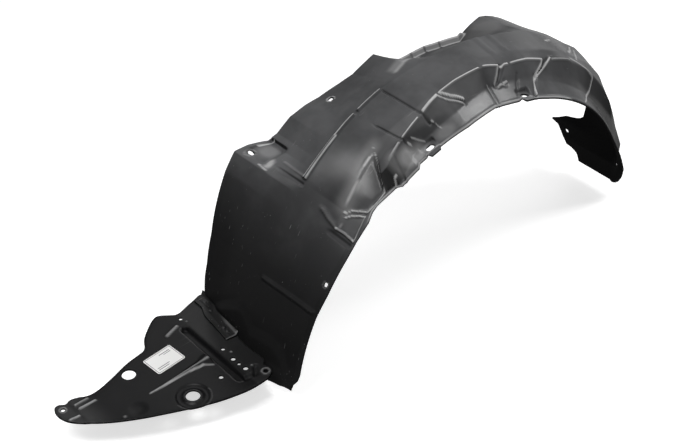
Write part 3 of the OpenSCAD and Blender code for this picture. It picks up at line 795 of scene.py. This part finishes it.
# how glossy the liner is along its arc, and what its parts add to that or take from it
coat = {
    "along": [(8, 0.16), (26, 0.2), (50, 0.28), (66, 0.22), (73, 0.08), (104, 0.09), (122, 0.26), (134, 0.12),
              (146, 0.05), (175, 0.04)],
    "wallLess": 0.2, "flange": 0.45, "sail": 0.6,
    # the front leg is duller beyond this line
    "legFold": [(130, 150), (132.3, 153), (137.7, 157), (142.8, 163), (149.8, 171), (168, 172)],
    "legLess": 0.5,
    # glossy place on the front of the deck: angle, depth, half size, strength
    "spot": (118, 60, 52, 0.42),
}


def polish(a, y):
    # the sheet is glossiest on the flange, the sail and the top, and dull low on its legs
    k = along(coat["along"], a)
    wall = ease(24, 30, y) * (1 - ease(42, 48, y)) * band(30, 110, 3, a)
    k = k - coat["wallLess"] * wall * band(30, 75, 6, a)
    flange = (1 - ease(22, 29, y)) * band(62, 112, 4, a)
    k = k + coat["flange"] * flange * (0.5 + 0.5 * band(78, 95, 5, a))
    sail = ease(-0.8, 0.8, a - sailSide(y)) * (1 - ease(127.5, 130, a)) * (1 - ease(40, 46, y))
    k = k + coat["sail"] * sail
    fold = along(coat["legFold"], a)
    k = k * (1 - coat["legLess"] * ease(fold - 7, fold + 7, y) * ease(130.5, 133, a))
    a0, y0, w, strength = coat["spot"]
    return np.clip(k + strength * bump(np.hypot(edgeArc(a, a0), y - y0), w), 0, 1)


angles, depths, outerSkin, innerSkin, skinFaces = linerSheet(rowAngles, columnSteps, reach=0.6)
# the face that turns away is coarser: every third row, and each row beside its holes
holeAngles = [hole[0] for hole in arch["clipHoles"]] + list(arch["lugAngles"])
wanted = [k % 3 == 0 or min(abs(v - a0) for a0 in holeAngles) < 2 for k, v in enumerate(rowAngles)]
wanted[-1] = True
wheelSteps = np.append(columnSteps[:-1:2], columnSteps[-1])
wheelSkin, wheelFaces = linerSheet(rowAngles[wanted], wheelSteps, reach=0.9)[3:]
linerMesh, used = shellMesh("archLiner", outerSkin, innerSkin, skinFaces, back=(wheelSkin, wheelFaces))
# painted highlights, and the coat's gloss
setMasks(linerMesh, used, paintedHighlights(angles, depths), polish(angles, depths))
print("arch liner", len(linerMesh.polygons), "faces")
addPiece("archLiner", linerMesh, ["arch_liner"], "liner_plastic", linerPlastic, linerInsideShaded)


# foot tab and splash panel

def legX(y):
    # where the front leg's skin meets the top of the panel
    y = np.asarray(y, float)
    row = arch["footRow"] + 0 * y
    r = arch["radius"] + form(row, y) + details(row, y)
    return -np.sqrt(r ** 2 - arch["footHeight"] ** 2)


def footTab():
    # turned out over the panel: a lapped end at the leg, a low rib and two slanting sides
    start, end, width = arch["footTab"]
    y, k = np.meshgrid(np.linspace(start, end, 70), np.linspace(0, 1, 22), indexing="ij")
    lean = np.interp(y, (start, start + 6, end - 10, end), (3, 0, 0, -5)) * k
    x = legX(np.minimum(y, 216)) + 1 - (width + 1) * k
    lift = 6 * (1 - ease(0, 0.3, k)) ** 2 + 0.5 * bump(k - 0.62, 0.12)
    top = np.stack([x, y + lean, arch["footHeight"] + arch["thickness"] + lift], axis=-1)
    faces = keptFaces(np.zeros(k.shape, bool))
    under = top - np.array([0, 0, arch["thickness"] - 0.1])
    mesh, used = shellMesh("footTab", top, under, [f[::-1] for f in faces])
    # painted highlights along the lapped end and the outer edge
    highlightShare = 0.03 + 0.45 * bump(y - start - 1.5, 2.5) + 0.35 * bump(k - 0.12, 0.1) * ease(175, 150, y)
    setMasks(mesh, used, highlightShare, np.full(k.shape, 0.3))
    return mesh


addPiece("footTab", footTab(), ["arch_liner"], "liner_plastic", linerPlastic, linerInsideShaded)

panel = {
    "top": 64.0, "thickness": 2.5,
    # grid that the sheet is cut from: its step and its ends
    "grid": 1.5, "gridX": (-282, 22), "gridY": (-166, 46),
    "outline": [(-5, -146), (-10, -155), (-18, -160), (-27, -162), (-53, -162.5), (-75, -158), (-99, -152),
                (-128, -141), (-161, -126), (-198, -108), (-237, -84), (-263, -61), (-274, -48), (-279, -32),
                (-276, -16), (-267, -12), (-258, -20), (-251, -16), (-239, -19), (-229, -26), (-212, -27),
                (-179, -18), (-162, -12), (-146, -8), (-121, -5), (-114, 0), (-107, 14), (-88, 30), (-70, 42),
                (-61, 43), (-50, 34), (-39, 25), (-19, 31), (-2, 35)],
    # place and radius of the two access holes and the small ones
    "holes": {"inner": (-162, -29, 10), "outer": (-121, -121, 10), "clip": (-34, -126, 3.7),
              "strip1": (-35.5, -113, 2.66), "strip2": (-35.5, -100, 3.48), "strip3": (-34, -75, 2.96),
              "side1": (-70, -117, 3.5), "side2": (-41, 15, 2.8), "corner": (-17, -149, 3.2),
              "tip": (-267, -26, 3.2)},
    # groove beside the strip and its two turns: line, depth, half widths at the bottom and the top
    "grooves": [(((-52, -136), (-50, -8)), 7.0, 4.0, 7.2), (((-47, -141), (-30, -143)), 4.5, 2.0, 5.0),
                (((-30, -143), (-21, -131)), 4.0, 1.5, 4.0)],
    "bead": ((-161, -78.5), (-61, -77)), "dish": (-190, -92),
    # line, half width, height, shine
    "ribs": [(((-161, -78.8), (-96, -80.6)), 2.4, 0.2, 0.75), (((-96, -80.6), (-74, -83.2)), 3.0, 0.2, 0.8),
             (((-74, -83.2), (-63, -91)), 3.0, 0.2, 0.5),
             (((-250, -30.5), (-231, -30.8)), 3.0, 2.2, 0.6), (((-249, -40), (-225, -40.8)), 3.2, 2.4, 0.7),
             (((-270, -48), (-257, -50)), 3.0, 2.0, 0.7), (((-77, -2), (-55, 5)), 4.5, 2.2, 0.55)],
    # place, half width, shine
    "bosses": [(-24, -127, 2.6, 0.6), (-29, -87, 2.6, 0.6), (-38, 5, 2.4, 0.4), (-212, -92, 3.5, 0.4)],
}


def lineGap(x, y, line):
    # distance from a straight line between two places, and how far along it
    (x0, y0), (x1, y1) = line
    k = np.clip(((x - x0) * (x1 - x0) + (y - y0) * (y1 - y0)) / ((x1 - x0) ** 2 + (y1 - y0) ** 2), 0, 1)
    return np.hypot(x - x0 - k * (x1 - x0), y - y0 - k * (y1 - y0)), k


def holeGap(x, y, name):
    # distance from the middle of one of the panel's holes
    hx, hy, _ = panel["holes"][name]
    return np.hypot(x - hx, y - hy)


def panelHeight(x, y):
    # height of the panel's face, and the painted highlight at each place of it
    h = 0.35 * np.sin(x / 31 + 0.6) * np.sin(y / 27) - 0.3
    for line, depth, bottom, top in panel["grooves"]:
        h = h - depth * (1 - ease(bottom, top, lineGap(x, y, line)[0]))
    # painted highlight along the outer lip of the long groove
    line, _, _, top = panel["grooves"][0]
    shine = 0.2 * bump(lineGap(x, y, line)[0] - top, 1.8) * (x < line[0][0])
    # the tapering bead: a sharp ridge that widens and fans out at the groove, with a painted highlight along
    # it
    gap, k = lineGap(x, y, panel["bead"])
    width = 2.5 + 6 * k ** 1.6 + 6 * ease(0.8, 1, k)
    fan = 1 - ease(-62, -57, x)
    h = h + (0.8 + 3.4 * k) * bump(gap, width) * fan
    shine = np.maximum(shine, (0.35 + 0.6 * k) * bump(gap + 0.15 * width, 0.45 * width) * fan)
    # dished ring round the outer access hole, and a shallow dish further along
    d = holeGap(x, y, "outer")
    h = h - 1.5 * band(17, 21, 4, d) + 0.8 * (1 - ease(10, 15, d))
    # painted highlights on the rims of that ring and of the hole
    shine = np.maximum(shine, 0.12 * bump(d - 25.5, 1.5) * (y < panel["holes"]["outer"][1]))
    shine = np.maximum(shine, 0.1 * bump(d - 11.2, 1.6))
    dishX, dishY = panel["dish"]
    h = h - 1.3 * (1 - ease(4, 15, np.hypot(x - dishX, y - dishY)))
    # a raised ring round the hole at the corner, with painted highlights round it and round the hole at the
    # tip
    d = holeGap(x, y, "corner")
    h = h + 1.0 * band(4.2, 6.8, 1.2, d)
    shine = np.maximum(shine, 0.5 * bump(d - 5.5, 2.2))
    shine = np.maximum(shine, 0.5 * bump(holeGap(x, y, "tip") - 4.6, 2.0))
    # ribs and bosses, each with a painted highlight
    for line, w, height, highlightLevel in panel["ribs"]:
        gap = lineGap(x, y, line)[0]
        h = h + height * bump(gap, w)
        shine = np.maximum(shine, highlightLevel * np.minimum(1, 1.5 * bump(gap, 0.8 * w)))
    for bx, by, w, highlightLevel in panel["bosses"]:
        gap = np.hypot(x - bx, y - by)
        h = h + 1.1 * bump(gap, w)
        shine = np.maximum(shine, highlightLevel * bump(gap, w))
    # painted light makes the strip beside the arch and the tip a little paler
    shine = np.maximum(shine, 0.03 * ease(-44, -38, x) + 0.04 * ease(-215, -255, x))
    # low step where the tip turns into the lobe
    return h - 1.0 * ease(-252, -258, x), shine


def roundedOutline(points):
    # corners are cut off twice, which rounds the outline
    for _ in range(2):
        cut = []
        for (px, py), (qx, qy) in zip(points, points[1:] + points[:1]):
            cut.append((0.75 * px + 0.25 * qx, 0.75 * py + 0.25 * qy))
            cut.append((0.25 * px + 0.75 * qx, 0.25 * py + 0.75 * qy))
        points = cut
    return np.array(points)


def outlineGap(x, y, outline):
    # signed distance from a closed outline, above 0 outside, and the nearest place on it
    best = np.full(x.shape, 1e9)
    nx, ny = np.zeros(x.shape), np.zeros(x.shape)
    inside = np.zeros(x.shape, bool)
    for (x0, y0), (x1, y1) in zip(outline, np.roll(outline, -1, axis=0)):
        size = max((x1 - x0) ** 2 + (y1 - y0) ** 2, 1e-9)
        k = np.clip(((x - x0) * (x1 - x0) + (y - y0) * (y1 - y0)) / size, 0, 1)
        px, py = x0 + k * (x1 - x0), y0 + k * (y1 - y0)
        d = np.hypot(x - px, y - py)
        nearer = d < best
        best, nx, ny = np.where(nearer, d, best), np.where(nearer, px, nx), np.where(nearer, py, ny)
        if y0 != y1:
            inside ^= ((y0 > y) != (y1 > y)) & (x < (x1 - x0) * (y - y0) / (y1 - y0) + x0)
    return np.where(inside, -best, best), nx, ny


def splashPanel():
    step = panel["grid"]
    reach = step * 0.55  # corners nearer than this to an edge move onto it
    # the side that meets the front leg follows its skin
    legSide = []
    for v in range(232, 57, -10):
        legSide.append((float(legX(min(v, 205))) + arch["radius"] - 0.3, v - arch["depth"]))
    outline = roundedOutline(panel["outline"] + legSide + [(-12, -137)])
    x, y = np.meshgrid(np.arange(*panel["gridX"], step), np.arange(*panel["gridY"], step), indexing="ij")
    gap, nx, ny = outlineGap(x, y, outline)
    snap = np.abs(gap) < reach
    opened = gap >= reach
    x, y = np.where(snap, nx, x), np.where(snap, ny, y)
    for hx, hy, radius in panel["holes"].values():
        d = np.hypot(x - hx, y - hy)
        snap = np.abs(d - radius) < reach
        opened |= d <= radius - reach
        scale = np.where(snap, radius / np.maximum(d, 1e-6), 1)
        x, y = hx + (x - hx) * scale, hy + (y - hy) * scale
    edge = outlineGap(x, y, outline)[0]
    relief, shine = panelHeight(x, y)
    z = panel["top"] + relief - 0.5 * (1 - ease(0, 3, -edge))
    top = np.stack([x - arch["radius"], y + arch["depth"], z], axis=-1)
    under = top - np.array([0, 0, panel["thickness"]])
    faces = [f[::-1] for f in keptFaces(opened)]
    mesh, used = shellMesh("splashPanel", top, under, faces)
    # painted highlights, and the coat's gloss
    setMasks(mesh, used, shine, 0.45 + 0.55 * ease(-225, -262, x))
    return mesh


panelMesh = splashPanel()
print("splash panel", len(panelMesh.polygons), "faces")
addPiece("splashPanel", panelMesh, ["splash_panel"], "panel_plastic", panelPlastic, panelPlastic)

for node, material in (("heat_stakes", stakePlastic), ("blank_sticker", stickerPaper)):
    obj = frame["nodes"][node]
    obj.data.materials.clear()
    obj.data.materials.append(material)

# room, light and camera

room = {"level": 0.3, "darkCorner": (-0.75, 0.5, 0.35), "corner": (0.1, 0.75), "heights": (0.1, 0.8),
        "dark": (0.15, 0.15, 0.15), "floorHalf": 6, "floorGlow": 0.62, "floorColour": 0.8}


def placeAndAim(obj, at, to):
    obj.location = at
    obj.rotation_euler = (Vector(to) - Vector(at)).to_track_quat("-Z", "Y").to_euler()
    bpy.context.scene.collection.objects.link(obj)


world = bpy.data.worlds.new("studio")
bpy.context.scene.world = world
world.use_nodes = True
sky = world.node_tree
background = sky.nodes["Background"]
level = rampNode(sky, seenRays(sky), room["level"], 1 - room["level"])
sky.links.new(level, background.inputs["Strength"])
# the room is darker low down and towards one corner, behind the front leg
direction = sky.nodes.new("ShaderNodeTexCoord").outputs["Generated"]
towards = sky.nodes.new("ShaderNodeVectorMath")
towards.operation = "DOT_PRODUCT"
sky.links.new(direction, towards.inputs[0])
towards.inputs[1].default_value = Vector(room["darkCorner"]).normalized()
height = spread(sky, splitNode(sky, direction)["Z"], *room["heights"])
corner = spread(sky, towards.outputs["Value"], *room["corner"])
lit = mathNode(sky, "MULTIPLY", height, mathNode(sky, "SUBTRACT", 1.0, corner))
sky.links.new(colourMix(sky, lit, room["dark"], (1, 1, 1)), background.inputs["Color"])

lamps = {
    "key": {"at": (1.06, -0.43, 1.48), "to": (0.0, 0.05, 0.38), "size": (0.32, 0.85), "power": 12},
    "front": {"at": (-1.36, -1.25, 1.15), "to": (-0.2, 0.03, 0.33), "size": (0.4, 0.4), "power": 5},
    "upperLeft": {"at": (-1.22, 0.48, 1.33), "to": (-0.2, 0.06, 0.33), "size": (0.5, 0.5), "power": 6},
    "behind": {"at": (0.88, 1.0, 1.4), "to": (0.0, 0.1, 0.35), "size": (1.6, 1.0), "power": 5},
    "right": {"at": (1.5, 0.65, 0.65), "to": (0.1, 0.08, 0.38), "size": (0.8, 0.6), "power": 4},
    "panel": {"at": (-0.62, 0.12, 1.1), "to": (-0.48, 0.14, 0.06), "size": (0.5, 0.5), "power": 0.36,
              "spread": 40},
}
for name, lamp in lamps.items():
    data = bpy.data.lights.new(name, "AREA")
    data.shape = "RECTANGLE"
    data.size, data.size_y = lamp["size"]
    data.energy = lamp["power"]
    data.spread = math.radians(lamp.get("spread", 180))
    placeAndAim(bpy.data.objects.new(name, data), lamp["at"], lamp["to"])

floorMesh = bpy.data.meshes.new("floor")
low, half = cadBox[0][2], room["floorHalf"]
corners = [(-half, -half, low), (half, -half, low), (half, half, low), (-half, half, low)]
floorMesh.from_pydata(corners, [], [(0, 1, 2, 3)])
floor = bpy.data.objects.new("floor", floorMesh)
bpy.context.scene.collection.objects.link(floor)
paint, tree, shader = newMaterial("white floor")
shader.inputs["Base Color"].default_value = (*[room["floorColour"]] * 3, 1)
shader.inputs["Roughness"].default_value = 0.9
shader.inputs["Specular IOR Level"].default_value = 0.0
shader.inputs["Emission Color"].default_value = (1, 1, 1, 1)
glow = mathNode(tree, "MULTIPLY", seenRays(tree), room["floorGlow"])
tree.links.new(glow, shader.inputs["Emission Strength"])
floorMesh.materials.append(paint)

# the reach is the lens over the sensor's width
view = {"at": (-1.2619, -1.1454, 1.5153), "to": (-0.24492, 0.0, 0.28933), "sensor": 36, "reach": 1500 / 700}
camera = bpy.data.objects.new("camera", bpy.data.cameras.new("camera"))
camera.data.sensor_width = view["sensor"]
camera.data.lens = view["reach"] * view["sensor"]
placeAndAim(camera, view["at"], view["to"])
bpy.context.scene.camera = camera
bpy.context.scene.view_settings.view_transform = "Standard"
print("room made")
